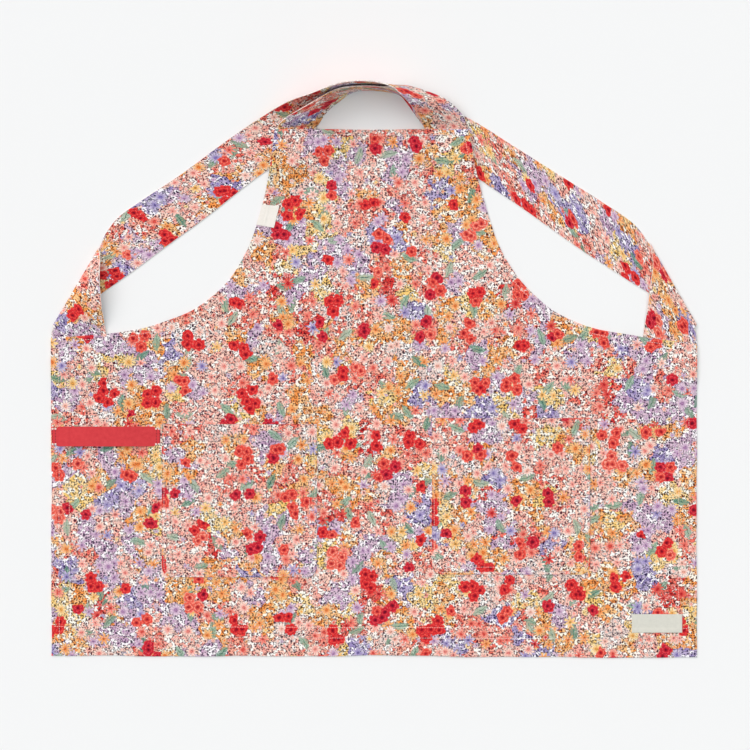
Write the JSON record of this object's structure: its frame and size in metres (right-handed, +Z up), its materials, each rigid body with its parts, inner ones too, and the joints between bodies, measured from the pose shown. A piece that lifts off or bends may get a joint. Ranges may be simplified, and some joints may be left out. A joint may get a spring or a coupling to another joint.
{
  "type": "smock",
  "caption": "Cross-back pinafore smock in floral cotton, lying flat with its front up: bib, wide body, crossed straps, patch pockets, towel loop and plain tabs.",
  "frame": {"origin": "middle of the outline seen from above, on the surface that the smock lies on", "axes": "+X across the body towards the wearer's left, +Y towards the neck, +Z up out of the front face"},
  "size_m": [0.915, 0.8116, 0.0666],
  "materials": {
    "print_cloth": "plain-weave cotton canvas with an all-over ditsy floral print",
    "red_tape": "red cotton twill tape",
    "white_tape": "white woven ribbon",
    "cream_tape": "cream cotton tape"
  },
  "bodies": {
    "root": {"body_panel": "print_cloth", "strap_left": "print_cloth", "strap_right": "print_cloth", "pocket_left": "print_cloth", "pocket_right": "print_cloth", "towel_loop": "red_tape", "side_tag": "white_tape", "hem_label": "cream_tape"}
  },
  "joints": []
}
